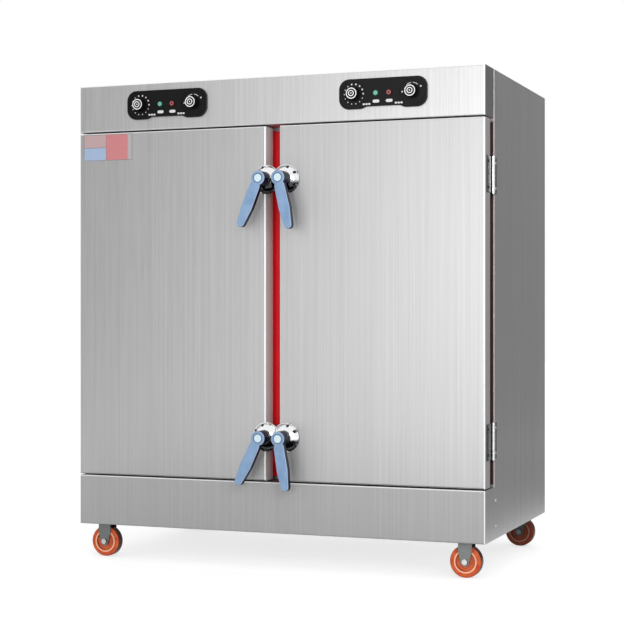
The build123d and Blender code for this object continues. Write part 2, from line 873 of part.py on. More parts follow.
def control_bezels():
    """A waisted black bezel for each chamber, with two sunk dials and two lamp holes."""
    end_x = (bezel_length - bezel_end_length) / 2
    waist_z = bezel_waist - bezel_height / 2
    outline = Rectangle(bezel_length - bezel_end_length, bezel_height - bezel_waist)
    outline = Pos(0, bezel_waist / 2) * outline
    lobe = RectangleRounded(bezel_end_length, bezel_height, bezel_corner_radius)
    for sign in side_signs:
        outline += Pos(sign * end_x, 0) * lobe
    low, high = waist_z - running_clearance, waist_z + running_clearance
    corners = outline.vertices().filter_by_position(Axis.Y, low, high)
    outline = fillet(corners, bezel_waist_radius)
    plate = extrude(facing_front(0, front, bezel_z) * outline, amount=bezel_thickness)
    plate = fillet(plate.edges().group_by(Axis.Y)[0], bezel_rounding)
    for sign in side_signs:
        dial_x = sign * dial_offset
        plate -= rod_y(dial_radius, bezel_front - overrun, bezel_front + dial_recess, dial_x, bezel_z)
        plate -= rod_y(knob_shaft_radius + shaft_hole_clearance, bezel_front - overrun, front + overrun,
                       dial_x, bezel_z)
        plate -= rod_y(lamp_radius, bezel_front - overrun, front + overrun, sign * lamp_offset, bezel_z)
    return [Pos(sign * bezel_offset, 0, 0) * plate for sign in side_signs]


def control_units():
    """The timer and the thermostat behind each bezel."""
    half = timer_width / 2
    bore_radius = knob_shaft_radius + running_clearance
    bore = rod_y(bore_radius, front - overrun, front + knob_shaft_length, 0, bezel_z)
    timer = block(-half, half, front, front + timer_depth, bezel_z - half, bezel_z + half) - bore
    thermostat = rod_y(thermostat_radius, front, front + thermostat_depth, 0, bezel_z) - bore
    units = [Pos(-dial_offset, 0, 0) * timer, Pos(dial_offset, 0, 0) * thermostat]
    return [Pos(sign * bezel_offset, 0, 0) * unit for sign in side_signs for unit in units]


def indicator_lamps():
    """A green and a red lamp in each bezel: collar, domed lens and body."""
    collar_front = bezel_front - lamp_collar_height
    lamp = rod_y(lamp_radius, bezel_front, front + lamp_body_length, 0, bezel_z)
    collar = rod_y(lamp_collar_radius, collar_front, bezel_front, 0, bezel_z)
    lens = rod_y(lamp_radius, collar_front - lamp_dome_height, collar_front, 0, bezel_z)
    lens = fillet(lens.edges().group_by(Axis.Y)[0], lamp_dome_height / 2)
    lamp += collar + lens
    places = [sign * bezel_offset + side * lamp_offset for sign in side_signs for side in side_signs]
    return [Pos(x, 0, 0) * lamp for x in places]


def knob(sign, side):
    """A round control knob with a skirt and a raised centre, on its shaft."""
    seat = bezel_front + dial_recess - knob_gap
    skirt = seat - knob_skirt_height
    face = seat - knob_height
    points = [
        (0, seat), (knob_skirt_radius, seat), (knob_skirt_radius, skirt), (knob_radius, skirt),
        (knob_top_radius, face), (knob_boss_radius + knob_boss_height, face),
        (knob_boss_radius, face - knob_boss_height), (0, face - knob_boss_height),
    ]
    body = spun_y(points) + rod_y(knob_shaft_radius, seat - knob_skirt_height, seat + knob_shaft_length, 0, 0)
    return [Pos(sign * bezel_offset + side * dial_offset, 0, bezel_z) * body]


# Hinges


def knuckle_spans(z):
    """The heights of a hinge's two frame knuckles and of its door knuckle."""
    low, high = z - hinge_height / 2, z + hinge_height / 2
    frame = ((low, low + knuckle_end), (high - knuckle_end, high))
    door = (low + knuckle_end + knuckle_gap, high - knuckle_end - knuckle_gap)
    return frame, door


def hinge_leaf(z, reach, way, spans, cleared):
    """A right-hand leaf on the side face: way is 1 towards the back and -1 towards the front."""
    low, high = z - hinge_height / 2, z + hinge_height / 2
    y0, y1 = sorted((hinge_y, hinge_y + way * reach))
    leaf = block(half_width, half_width + leaf_sheet, y0, y1, low, high)
    clear = knuckle_radius + knuckle_gap
    c0, c1 = sorted((hinge_y - way * overrun, hinge_y + way * clear))
    for z0, z1 in cleared:
        leaf -= block(half_width - overrun, hinge_x, c0, c1, z0 - knuckle_gap, z1 + knuckle_gap)
    for z0, z1 in spans:
        leaf += rod_z(knuckle_radius, z0, z1, hinge_x, hinge_y)
    return leaf - rod_z(pin_radius + running_clearance, low - overrun, high + overrun, hinge_x, hinge_y)


def hinge_frame_leaves():
    """The fixed leaf of each hinge, on the side panel."""
    leaves = []
    for z in hinge_heights:
        frame, door = knuckle_spans(z)
        leaf = hinge_leaf(z, frame_leaf_reach, 1, frame, (door,))
        leaves.append(without(leaf, screw_holes(frame_leaf_screws(1))))
    return leaves + mirrored(leaves)


def hinge_pins():
    """A headed pin through each hinge."""
    pins = []
    for z in hinge_heights:
        low, high = z - hinge_height / 2, z + hinge_height / 2
        pin = rod_z(pin_radius, low, high, hinge_x, hinge_y)
        for z0, z1 in ((low - pin_head_height, low), (high, high + pin_head_height)):
            head = rod_z(pin_head_radius, z0, z1, hinge_x, hinge_y)
            outer = head.edges().filter_by(GeomType.CIRCLE).sort_by(Axis.Z)[0 if z0 < low else -1]
            pin += fillet(outer, pin_head_height / 2)
        pins.append(pin)
    return pins + mirrored(pins)


def door_hinge_leaves(sign):
    """The moving leaf of each hinge, on the door's side."""
    leaves = []
    for z in hinge_heights:
        frame, door = knuckle_spans(z)
        leaf = hinge_leaf(z, door_leaf_reach, -1, (door,), frame)
        leaves.append(without(leaf, screw_holes(door_leaf_screws(1))))
    return on_side(leaves, sign)


# Doors


def door_screws(sign):
    return door_leaf_screws(sign) + rosette_screws(sign)


def plug(inset):
    """The raised inner panel that sits inside the seal ring, less a sheet thickness."""
    margin = seal_inset + seal_width + plug_clearance + inset
    back_face = door_back + plug_depth - inset
    return block(door_inner_x + margin, door_outer_x - margin, door_back - skin, back_face,
                 door_bottom + margin, door_top - margin)


def door_shell(sign):
    """The outer pan of a door."""
    shell = open_pan(door_inner_x, door_outer_x, front, door_back, door_bottom, door_top, skin)
    return [without(piece, screw_holes(door_screws(sign))) for piece in on_side([shell], sign)]


def door_inner_pan(sign):
    """The inner sheet of a door, with its raised panel."""
    flange = block(door_inner_x + skin, door_outer_x - skin, door_back - skin, door_back,
                   door_bottom + skin, door_top - skin)
    return on_side([flange + plug(0) - plug(skin)], sign)


def door_insulation(sign):
    """The foam inside a door."""
    filling = rounded_front(door_inner_x + skin, door_outer_x - skin, front + skin, door_back - skin,
                            door_bottom + skin, door_top - skin, bend_radius - skin) + plug(skin)
    return [without(piece, screw_holes(door_screws(sign))) for piece in on_side([filling], sign)]


# Latches


def latch_rosettes(sign):
    """The domed chrome rosettes of one door, cut straight beside the other door's."""
    rosettes = []
    x = pivot_x(sign)
    edge = latch_shift + sign * dome_gap / 2
    beyond = edge - sign * 2 * rosette_radius
    for z in latch_heights.values():
        dome = Pos(x, dome_centre_y, z) * Sphere(dome_sphere)
        dome &= rod_y(rosette_radius, front - dome_height, front - rosette_rim, x, z)
        dome += rod_y(rosette_radius, front - rosette_rim, front, x, z)
        dome += rod_y(boss_radius, boss_face, front - dome_height / 2, x, z)
        dome -= Pos(x, dome_centre_y, z) * Sphere(dome_sphere - dome_wall)
        dome += rod_y(boss_core_radius, boss_face, boss_end, x, z)
        places = [found for found in rosette_screws(sign) if abs(found[0][2] - z) < rosette_radius]
        for (screw_x, seat, screw_z), outward, length in places:
            dome += rod_y(rosette_post_radius, seat, front, screw_x, screw_z)
            dome -= rod_y(rosette_pocket_radius, seat - dome_height, seat, screw_x, screw_z)
        dome -= rod_y(spindle_radius + running_clearance, boss_face - overrun, front, x, z)
        dome -= block(min(edge, beyond), max(edge, beyond), boss_face - overrun, front + overrun,
                      z - 2 * rosette_radius, z + 2 * rosette_radius)
        rosettes.append(without(dome, screw_holes(places)))
    return rosettes


def latch_keepers():
    """A keeper for each latch pair on the centre post: a foot, a post and a head, welded together."""
    plates = [
        keeper_plate(keeper_head_width, keeper_head_height, keeper_back - keeper_head_sheet, keeper_back),
        keeper_plate(keeper_post_width, keeper_post_height, keeper_back, frame_y - seal_web),
        keeper_plate(keeper_foot_width, keeper_foot_height, frame_y - seal_web, frame_y),
    ]
    return [Pos(latch_shift, 0, z) * plate for z in latch_heights.values() for plate in plates]


def keeper_plate(width, height, y0, y1):
    return block(-width / 2, width / 2, y0, y1, -height / 2, height / 2)


def handle():
    """A latch handle hanging straight down from its pivot, and the round cap in its head."""
    tip_reach = handle_length - handle_tip_radius
    circles = (
        Pos(0, -handle_neck_reach) * Circle(handle_neck_radius),
        Pos(0, -handle_belly_reach) * Circle(handle_belly_radius),
        Pos(0, -tip_reach) * Circle(handle_tip_radius),
    )
    outline = make_hull([edge for circle in circles for edge in circle.edges()]) + Circle(handle_head_radius)
    grip = extrude(facing_front(0, handle_face + handle_thickness, 0) * outline, amount=handle_thickness)
    grip = fillet(grip.edges().group_by(Axis.Y)[0], handle_rounding)
    hub_back = boss_face - handle_gap
    grip += rod_y(handle_head_radius, handle_face + handle_thickness, hub_back, 0, 0)
    cap_face = handle_face + handle_cap_sunk
    grip -= rod_y(handle_cap_radius, handle_face - overrun, cap_face + handle_cap_depth, 0, 0)
    grip -= spindle_bar(hub_back)
    cap = rod_y(handle_cap_radius, cap_face, cap_face + handle_cap_depth, 0, 0)
    cap = fillet(cap.edges().group_by(Axis.Y)[0], handle_cap_rounding)
    return [grip, cap]


def spindle_bar(end):
    """The square part of a spindle, from inside the handle's head back to end."""
    half = spindle_square / 2
    return block(-half, half, handle_face + handle_socket_wall, end, -half, half)


def latch_bolt():
    """The spindle of a handle, and the tongue on its end that swings behind the keeper's head."""
    half = tongue_width / 2
    spindle = rod_y(spindle_radius, boss_face, tongue_back, 0, 0) + spindle_bar(boss_end)
    spindle += rod_y(tongue_hub_radius, boss_end + keeper_clearance, tongue_front, 0, 0)
    reach = tongue_radius - half
    tongue = rod_y(tongue_hub_radius, tongue_front, tongue_back, 0, 0)
    tongue += block(-half, half, tongue_front, tongue_back, 0, reach)
    tongue += rod_y(half, tongue_front, tongue_back, 0, reach)
    return [spindle, tongue - rod_y(spindle_radius, tongue_front, tongue_back, 0, 0)]


def at_latch(shapes, sign, level):
    """The pieces of one latch at its pivot, splayed outward as they hang."""
    splay = left_handle_angles[level] if sign < 0 else -right_handle_angles[level]
    place = Pos(pivot_x(sign), 0, latch_heights[level]) * Rot(0, splay, 0)
    return [place * shape for shape in shapes]


# Casters


def caster_forks():
    """A rigid fork under each corner of the deck, with its axle bolt."""
    half_y = hub_width / 2 + fork_play
    half_top = fork_top_width / 2
    plate_bottom = caster_height - fork_sheet
    eye = wheel_radius
    half_bolt = half_y + fork_sheet + axle_nut_height
    pieces = []
    for x, y in wheel_places.values():
        cheek_outline = Rectangle(fork_top_width, fork_straight, align=(Align.CENTER, Align.MAX))
        cheek_outline = Pos(0, plate_bottom - eye) * cheek_outline
        taper_top = plate_bottom - eye - fork_straight
        taper = make_hull([*(Pos(0, 0) * Circle(fork_eye_radius)).edges(),
                           Line((-half_top, taper_top), (half_top, taper_top))])
        outline = cheek_outline + taper
        fork = block(x - caster_plate_length / 2, x + caster_plate_length / 2,
                     y - caster_plate_breadth / 2, y + caster_plate_breadth / 2, plate_bottom, caster_height)
        for near in (y - half_y, y + half_y + fork_sheet):
            fork += extrude(facing_front(x, near, eye) * outline, amount=fork_sheet)
        fork -= rod_y(axle_radius, y - half_bolt, y + half_bolt, x, eye)
        axle = rod_y(axle_radius, y - half_bolt, y + half_bolt, x, eye)
        for near in (y - half_y - fork_sheet, y + half_bolt):
            nut = facing_front(x, near, eye) * RegularPolygon(axle_nut_radius, 6)
            axle += extrude(nut, amount=axle_nut_height)
        pieces += [fork, axle]
    return pieces


def wheel(x, y):
    """A tyre with a raised ridge on each side, and its core and hub."""
    half = wheel_width / 2
    tyre = rod_y(wheel_radius, -half, half, 0, 0)
    tyre = fillet(tyre.edges().filter_by(GeomType.CIRCLE), tyre_rounding)
    for side in side_signs:
        y0, y1 = sorted((0, side * (half + ridge_height)))
        tyre += rod_y(ridge_radius + ridge_width / 2, y0, y1, 0, 0)
        y0, y1 = sorted((side * half, side * (half + overrun)))
        tyre -= rod_y(ridge_radius - ridge_width / 2, y0, y1, 0, 0)
    tyre -= rod_y(tyre_bore_radius, -wheel_width, wheel_width, 0, 0)
    core = rod_y(tyre_bore_radius, -core_width / 2, core_width / 2, 0, 0)
    core += rod_y(hub_radius, -hub_width / 2, hub_width / 2, 0, 0)
    core -= rod_y(axle_radius + running_clearance, -hub_width, hub_width, 0, 0)
    return [Pos(x, y, wheel_radius) * piece for piece in (tyre, core)]


def nodes():
    """Every sub-part by name."""
    fixed_screws = side_screws + back_screws + frame_leaf_screws(-1) + frame_leaf_screws(1)
    found = {
        "base_frame": base_frame(),
        "base_front_panel": base_front_panel(),
        "top_panel": top_panel(),
        "back_panel": back_panel(),
        "header_casing": header_casing(),
        "front_frame": front_frame(),
        "front_seal": front_seal(),
        "steam_grates": steam_grates(),
        "tray_racks": tray_racks(),
        "body_insulation": body_insulation(),
        "water_tanks": water_tanks(),
        "heating_elements": heating_elements(),
        "drain_manifold": drain_manifold(),
        "drain_lever": drain_lever(),
        "float_box": float_box(),
        "float_arm": float_arm(),
        "water_inlet": water_inlet(),
        "steam_vents": steam_vents(),
        "cable_gland": cable_gland(),
        "electrical_box": electrical_box(),
        "control_bezels": control_bezels(),
        "control_units": control_units(),
        "indicator_lamps": indicator_lamps(),
        "hinge_frame_leaves": hinge_frame_leaves(),
        "hinge_pins": hinge_pins(),
        "latch_keepers": latch_keepers(),
        "caster_forks": caster_forks(),
        "cabinet_screws": screw_set(fixed_screws),
    }
    for sign, side in ((-1, "left"), (1, "right")):
        found[f"{side}_side_panel"] = side_panel(sign)
        found[f"{side}_chamber_liner"] = chamber_liner(sign)
        found[f"{side}_door_shell"] = door_shell(sign)
        found[f"{side}_door_inner_pan"] = door_inner_pan(sign)
        found[f"{side}_door_insulation"] = door_insulation(sign)
        found[f"{side}_door_hinge_leaves"] = door_hinge_leaves(sign)
        found[f"{side}_latch_rosettes"] = latch_rosettes(sign)
        found[f"{side}_door_screws"] = screw_set(door_screws(sign))
        for level in latch_heights:
            found[f"{level}_{side}_handle"] = at_latch(handle(), sign, level)
            found[f"{level}_{side}_latch_bolt"] = at_latch(latch_bolt(), sign, level)
        found[f"{side}_timer_knob"] = knob(sign, -1)
        found[f"{side}_thermostat_knob"] = knob(sign, 1)
    for name, place in wheel_places.items():
        found[f"{name}_wheel"] = wheel(*place)
    return found


os.makedirs("parts", exist_ok=True)
for name, shapes in nodes().items():
    solids = [solid for shape in shapes for solid in shape.solids()]
    export_step(Compound(children=solids), f"parts/{name}.step")
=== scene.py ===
"""The looks of a double-door steaming cabinet: materials, details, light and camera around the CAD frame."""

import json
import math

import bmesh
import bpy
from mathutils import Euler, Matrix, Vector

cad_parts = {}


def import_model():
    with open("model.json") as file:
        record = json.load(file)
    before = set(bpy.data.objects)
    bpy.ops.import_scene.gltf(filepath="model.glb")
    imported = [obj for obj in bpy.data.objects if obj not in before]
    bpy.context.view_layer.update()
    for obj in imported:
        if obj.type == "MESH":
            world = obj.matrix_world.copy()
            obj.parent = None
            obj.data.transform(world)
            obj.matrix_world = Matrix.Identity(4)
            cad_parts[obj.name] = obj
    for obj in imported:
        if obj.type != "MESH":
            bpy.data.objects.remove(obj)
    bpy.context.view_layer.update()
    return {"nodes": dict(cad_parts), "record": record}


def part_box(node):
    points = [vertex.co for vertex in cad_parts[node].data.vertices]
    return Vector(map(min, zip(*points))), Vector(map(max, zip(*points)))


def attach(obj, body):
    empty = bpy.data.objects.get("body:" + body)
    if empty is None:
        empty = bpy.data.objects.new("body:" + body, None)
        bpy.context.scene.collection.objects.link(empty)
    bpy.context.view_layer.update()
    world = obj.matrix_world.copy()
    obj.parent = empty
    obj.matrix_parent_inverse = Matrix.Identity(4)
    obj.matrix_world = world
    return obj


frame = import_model()
nodes = frame["nodes"]
axes = {joint["name"]: joint["pos_m"] for joint in frame["record"]["behaviour"]["joints"]}

# Camera, fitted to the edges of the cabinet in the photograph
CAMERA_PLACE = (1.9062, -4.8675, 0.8117)
CAMERA_YAW = 19.974
CAMERA_LENS = 88.40
CAMERA_SHIFT = (-0.070, 0.0006)

SIDES = {"left": -1, "right": 1}
LEVELS = ("upper", "lower")
ENDS = ("front", "rear")

# Faces and places of the frame that the details and tones follow, in metres
BEZEL_FACE = -0.401
DIAL_FLOOR = -0.3995
DIAL_X = 0.095
LAMP_X = 0.0215
BEZEL_X = axes["right_timer_turn"][0] + DIAL_X
BEZEL_Z = axes["right_timer_turn"][2]
KNOB_FACE = -0.4235
KNOB_BACK = -0.4005
KNOB_BOSS = -0.4255
DOOR_FACE = -0.394
DOOR_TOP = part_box("left_door_shell")[1][2]
HANDLE_FACE = -0.466
SIDE_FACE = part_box("right_side_panel")[1][0]
FRAME_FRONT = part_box("front_frame")[0][1]
BASE_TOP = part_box("base_front_panel")[1][2]
HEADER_LOW, HEADER_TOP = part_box("header_casing")[0][2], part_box("header_casing")[1][2]
SEAL_LOW, SEAL_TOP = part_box("front_seal")[0][2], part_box("front_seal")[1][2]
SEAL_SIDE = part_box("front_seal")[1][0]


# Small helpers for materials


def shader(name):
    """A new material with its node tree and its main shader."""
    made = bpy.data.materials.new(name)
    made.use_nodes = True
    tree = made.node_tree
    return made, tree, tree.nodes["Principled BSDF"]


def add(tree, kind, **settings):
    """A new node with its settings."""
    node = tree.nodes.new(kind)
    for key, value in settings.items():
        setattr(node, key, value)
    return node


def fill(tree, socket, value):
    """Links a socket to another one, or stores a plain value in it."""
    if isinstance(value, bpy.types.NodeSocket):
        tree.links.new(value, socket)
    else:
        socket.default_value = value


def feed(tree, node, **values):
    """Fills a node's sockets by name."""
    for key, value in values.items():
        fill(tree, node.inputs[key.replace("_", " ")], value)


def calc(tree, operation, first, second=0.0):
    """One step of arithmetic on values or sockets."""
    node = add(tree, "ShaderNodeMath", operation=operation)
    fill(tree, node.inputs[0], first)
    fill(tree, node.inputs[1], second)
    return node.outputs[0]


def product(tree, first, second):
    """One value or socket times another."""
    return calc(tree, "MULTIPLY", first, second)


def between(tree, source, low, high, band=(0.3, 0.7)):
    """Goes from low to high while the source crosses the band. The usual band is the spread of noise."""
    node = add(tree, "ShaderNodeMapRange")
    feed(tree, node, Value=source, From_Min=band[0], From_Max=band[1], To_Min=low, To_Max=high)
    return node.outputs["Result"]


def rise(tree, source, band):
    """Goes from none to all while the source crosses the band."""
    return between(tree, source, 0.0, 1.0, band)


def fall(tree, source, band):
    """Goes from all to none while the source crosses the band."""
    return between(tree, source, 1.0, 0.0, band)


def mixed(tree, share, first, second):
    """Two colours mixed by a share: each is a colour or a socket."""
    node = add(tree, "ShaderNodeMix", data_type="RGBA")
    fill(tree, node.inputs[0], share)
    for index, colour in ((6, first), (7, second)):
        fill(tree, node.inputs[index], (*colour, 1.0) if isinstance(colour, tuple) else colour)
    return node.outputs[2]


def mottled(tree, noise, first, second):
    """Two colours mixed by noise."""
    return mixed(tree, between(tree, noise, 0.0, 1.0), first, second)


def scaled(tone, factor):
    """A darker or lighter tone, white at most."""
    return tuple(min(1.0, part * factor) for part in tone)


def object_noise(tree, stretch, detail=3.0, rough=0.55):
    """Noise in the object's own space, with a scale per metre for all axes or along each."""
    place = add(tree, "ShaderNodeTexCoord")
    mapping = add(tree, "ShaderNodeMapping")
    stretch = stretch if isinstance(stretch, tuple) else (stretch, stretch, stretch)
    feed(tree, mapping, Vector=place.outputs["Object"], Scale=stretch)
    noise = add(tree, "ShaderNodeTexNoise")
    feed(tree, noise, Vector=mapping.outputs["Vector"], Scale=1.0, Detail=detail, Roughness=rough)
    return noise.outputs["Fac"]


def bump(tree, target, height, strength, depth=0.0003):
    """Fine relief, with its depth in metres."""
    node = add(tree, "ShaderNodeBump")
    feed(tree, node, Height=height, Strength=strength, Distance=depth)
    feed(tree, target, Normal=node.outputs["Normal"])


def place_in(tree):
    """The place in the object's own space, with one socket for each axis."""
    place = add(tree, "ShaderNodeTexCoord")
    parts = add(tree, "ShaderNodeSeparateXYZ")
    feed(tree, parts, Vector=place.outputs["Object"])
    return parts.outputs


def off_middle(tree, parts):
    """The distance from the cabinet's middle plane."""
    return calc(tree, "ABSOLUTE", parts["X"])


def distance(tree, across, up):
    """The straight way to a place so far across and so far up."""
    return calc(tree, "SQRT", calc(tree, "ADD", product(tree, across, across), product(tree, up, up)))


def axis_distance(tree, parts, axis):
    """The distance from an axis along Y, given by a place on it."""
    across = calc(tree, "SUBTRACT", parts["X"], axis[0])
    up = calc(tree, "SUBTRACT", parts["Z"], axis[2])
    return distance(tree, across, up)


def facing(tree):
    """How far a surface faces along each axis of the object, and, from -1 to 1, how far it faces up."""
    shape = add(tree, "ShaderNodeNewGeometry")
    turned = add(tree, "ShaderNodeVectorTransform", vector_type="NORMAL", convert_from="WORLD",
                 convert_to="OBJECT")
    parts = add(tree, "ShaderNodeSeparateXYZ")
    feed(tree, turned, Vector=shape.outputs["True Normal"])
    feed(tree, parts, Vector=turned.outputs["Vector"])
    ways = {axis: calc(tree, "ABSOLUTE", parts.outputs[axis]) for axis in "XYZ"}
    return {**ways, "up": parts.outputs["Z"]}


# Materials


# Brushed steel: noise scales per metre along and across the grain, and each noise's share of the tone
FINE_GRAIN = (8.0, 1400.0)
BROAD_GRAIN = (1.2, 260.0)
LINE_SHARE = 0.45
STREAK_SHARE = 0.55

# Folds of the sheets: the facings between which they count as return folds or as bends, and their looks:
# painted shade on the return folds and a painted highlight on the bends
RETURN_BAND = (0.80, 0.97)
BEND_BAND = (0.20, 0.45)
BEND_END = (0.85, 0.96)
BEND_LOWEST = -0.20
BEND_HIGHLIGHT_TONE = (0.95, 0.95, 0.955)
RETURN_SHADE_MATT = 0.85
BEND_HIGHLIGHT_MATT = 0.80
INNER_RETURN_SHADE = (0.62, 0.62, 0.615)
INNER_REACH = (0.20, 0.40)

# Smaller pieces: where a side or a curved edge stops counting as a front, and the bands and shares of
# painted shade, painted reflection and the painted knuckle highlight
SIDE_BAND = (0.35, 0.80)
MOTTLE = 180.0
KNUCKLE_X = (0.6982, 0.6992)
CHROME_REFLECTION_BAND = (-0.22, -0.04)
CHROME_SHADE_BAND = (0.05, 0.25)
NUT_RADIUS = 0.0085
NUT_DEPTH = 0.010
BEHIND_SHADE = 0.88
SEAL_OUTER = 0.50

# Handles: depths behind their face, of the painted highlight on the edge and of the sides, and the cap in
# the head with rings of painted shade round it
HANDLE_HIGHLIGHT_BAND = (0.0003, 0.0014)
HANDLE_SIDE = (0.0014, 0.0026)
EDGE_HIGHLIGHT_SHARE = 0.7
CAP_RADIUS = 0.0140
CAP_SHADE_WIDTH = 0.0016
CAP_DEPTH = 0.0025

# Wheels: the raised rings, each with its inner radius, outer radius and tone of painted highlight
RING_HIGHLIGHT_TONE = (0.95, 0.50, 0.32)
HUB_RING_HIGHLIGHT_TONE = (0.72, 0.22, 0.12)
WHEEL_RING_HIGHLIGHTS = ((0.0314, 0.0362, RING_HIGHLIGHT_TONE), (0.0235, 0.0247, HUB_RING_HIGHLIGHT_TONE), (0.0175, 0.0187, HUB_RING_HIGHLIGHT_TONE))
TREAD_SHADE_BAND = (0.30, 0.75)
# Painted shade: the rear wheels' tones are darkened to about a quarter
WHEEL_SHADE = {"front": 1.0, "rear": 0.24}

# Lamps: radii at which the collar begins and the core ends
LAMP_COLLAR = (0.0064, 0.0074)
LAMP_CORE = (0.0028, 0.0040)

# Foam: cells per metre, and the part of a cell over which it darkens
FOAM_SCALE = 420.0
FOAM_CELL = (0.1, 0.6)


def steel(name, tone, grain, rough=0.33, matt=0.0, return_shades=None, streak=0.12):
    """Brushed stainless steel whose fine lines run along one axis, with faint broad streaks.

    matt is the share of plain scattered light. The return tones are two tones of painted shade: one for the
    folds that face to the side away from the cabinet's middle, which are also duller (those near the middle
    take a lighter painted tone), and one for the folds that face up or down. Bends that face forward and not
    down take a bright, matt painted highlight.
    streak is how far the tone varies.
    """
    made, tree, main = shader(name)
    fine, broad = [tuple(along if axis == grain else across for axis in "xyz")
                   for along, across in (FINE_GRAIN, BROAD_GRAIN)]
    lines = object_noise(tree, fine, 4.0, 0.65)
    streaks = object_noise(tree, broad, 3.0, 0.6)
    blend = calc(tree, "ADD", product(tree, lines, LINE_SHARE), product(tree, streaks, STREAK_SHARE))
    colour = mottled(tree, blend, scaled(tone, 1.0 - streak), scaled(tone, 1.0 + streak))
    dull = matt
    if return_shades:
        ways = facing(tree)
        # Folds that face to the side take painted shade, lighter near the cabinet's middle
        shaded_side = rise(tree, ways["X"], RETURN_BAND)
        # Folds that face up or down take the second tone of painted shade
        level = rise(tree, ways["Z"], RETURN_BAND)
        # Bends that face forward and not down take a painted highlight
        bend_highlight = product(tree, rise(tree, ways["Y"], BEND_BAND), fall(tree, ways["Y"], BEND_END))
        bend_highlight = product(tree, bend_highlight, calc(tree, "GREATER_THAN", ways["up"], BEND_LOWEST))
        outer = rise(tree, off_middle(tree, place_in(tree)), INNER_REACH)
        colour = mixed(tree, shaded_side, colour, mixed(tree, outer, INNER_RETURN_SHADE, return_shades[0]))
        colour = mixed(tree, level, colour, return_shades[1])
        colour = mixed(tree, bend_highlight, colour, BEND_HIGHLIGHT_TONE)
        dull = calc(tree, "MAXIMUM", product(tree, shaded_side, RETURN_SHADE_MATT), product(tree, bend_highlight, BEND_HIGHLIGHT_MATT))
        dull = calc(tree, "MAXIMUM", dull, matt)
    feed(tree, main, Metallic=calc(tree, "SUBTRACT", 1.0, dull), Base_Color=colour,
         Roughness=between(tree, lines, rough - 0.06, rough + 0.08))
    bump(tree, main, lines, 0.08, 0.0004)
    return made


def sheet_metal(name, tone, rough):
    """Plain satin metal with faint mottling, for pipes, nuts, screws and leaves."""
    made, tree, main = shader(name)
    mottle = object_noise(tree, MOTTLE)
    feed(tree, main, Base_Color=mottled(tree, mottle, scaled(tone, 0.9), tone), Metallic=1.0,
         Roughness=between(tree, mottle, rough - 0.05, rough + 0.07))
    bump(tree, main, mottle, 0.05)
    return made


def hinge_steel(name, leaf_tone):
    """A knuckle with a painted highlight on a duller leaf."""
    made, tree, main = shader(name)
    knuckle = rise(tree, off_middle(tree, place_in(tree)), KNUCKLE_X)
    mottle = object_noise(tree, MOTTLE)
    knuckle_highlight = mottled(tree, mottle, (0.56, 0.56, 0.57), (0.70, 0.70, 0.71))
    feed(tree, main, Base_Color=mixed(tree, knuckle, leaf_tone, knuckle_highlight), Metallic=1.0,
         Roughness=between(tree, mottle, 0.17, 0.29))
    bump(tree, main, mottle, 0.05)
    return made


def mirror_metal(name):
    """Polished chrome with the faint haze of use, with a painted dark reflection on the faces that look down
    and painted shade on the faces that don't look to the front, such as the screw pockets.
    """
    made, tree, main = shader(name)
    haze = object_noise(tree, 60.0)
    ways = facing(tree)
    # Faces that look down take a painted dark reflection
    under = fall(tree, ways["up"], CHROME_REFLECTION_BAND)
    wall_shade = fall(tree, ways["Y"], CHROME_SHADE_BAND)
    colour = mottled(tree, haze, (0.84, 0.85, 0.87), (0.92, 0.92, 0.93))
    colour = mixed(tree, under, colour, (0.060, 0.062, 0.066))
    feed(tree, main, Base_Color=mixed(tree, wall_shade, colour, (0.030, 0.030, 0.032)), Metallic=1.0,
         Roughness=between(tree, haze, 0.05, 0.11))
    return made


def fork_steel(name):
    """Pressed steel with painted shade behind the axle and on the sides, with a bright nut on each axle's
    front end.
    """
    made, tree, main = shader(name)
    parts = place_in(tree)
    wheel = axes["front_right_wheel_spin"]
    across = calc(tree, "SUBTRACT", off_middle(tree, parts), wheel[0])
    up = calc(tree, "SUBTRACT", parts["Z"], wheel[2])
    nut = calc(tree, "LESS_THAN", distance(tree, across, up), NUT_RADIUS)
    behind = rise(tree, parts["Y"], (wheel[1] - NUT_DEPTH, wheel[1]))
    shaded_side = rise(tree, facing(tree)["X"], SIDE_BAND)
    mottle = object_noise(tree, MOTTLE)
    colour = mottled(tree, mottle, (0.25, 0.27, 0.26), (0.30, 0.32, 0.31))
    colour = mixed(tree, nut, colour, (0.86, 0.86, 0.86))
    # Painted shade behind the axle and on the sides
    dark = calc(tree, "MAXIMUM", product(tree, behind, BEHIND_SHADE), shaded_side)
    feed(tree, main, Base_Color=mixed(tree, dark, colour, (0.020, 0.020, 0.020)), Metallic=0.9,
         Roughness=between(tree, mottle, 0.36, 0.48))
    bump(tree, main, mottle, 0.05)
    return made


def plastic(name, colour, rough, gloss=0.5):
    """Moulded plastic with a fine grain."""
    made, tree, main = shader(name)
    main.inputs["Specular IOR Level"].default_value = gloss
    fine = object_noise(tree, 900.0, 2.0)
    cloud = object_noise(tree, 30.0, 2.0)
    feed(tree, main, Base_Color=mottled(tree, cloud, scaled(colour, 0.93), colour),
         Roughness=between(tree, fine, rough - 0.04, rough + 0.06))
    bump(tree, main, fine, 0.06)
    return made


